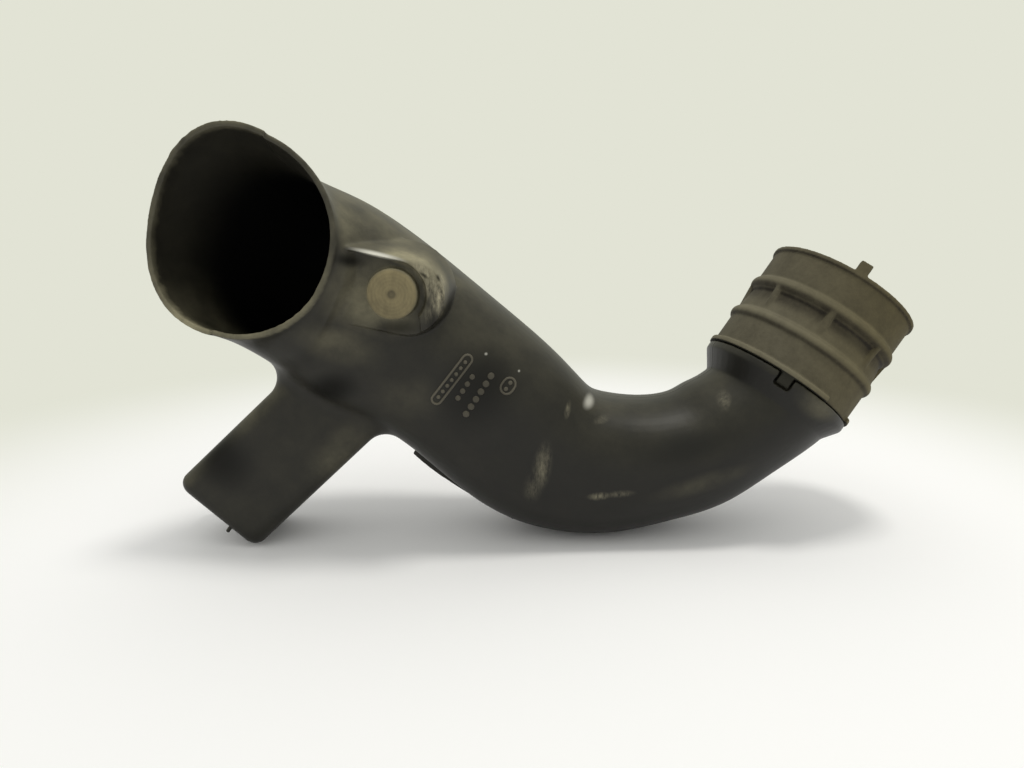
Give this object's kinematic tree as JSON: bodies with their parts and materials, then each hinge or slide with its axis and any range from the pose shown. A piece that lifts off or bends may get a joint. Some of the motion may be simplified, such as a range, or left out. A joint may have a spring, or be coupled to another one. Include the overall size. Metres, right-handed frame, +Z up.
{
  "type": "air intake duct",
  "caption": "Curved blow-moulded air intake duct with a wide mouth, closed side resonator and ribbed rubber coupling sleeve.",
  "frame": {"origin": "middle of the bottom of the whole part's bounding box, on the surface it rests on", "axes": "+X from the mouth towards the sleeve, +Y to the back, away from the mouth's opening, +Z up as it rests"},
  "size_m": [0.36, 0.1082, 0.1971],
  "materials": {
    "duct_plastic": "satin black, dusty",
    "sleeve_rubber": "matt, dusty brown-black"
  },
  "bodies": {
    "root": {"duct_body": "duct_plastic", "rubber_sleeve": "sleeve_rubber"}
  },
  "joints": []
}
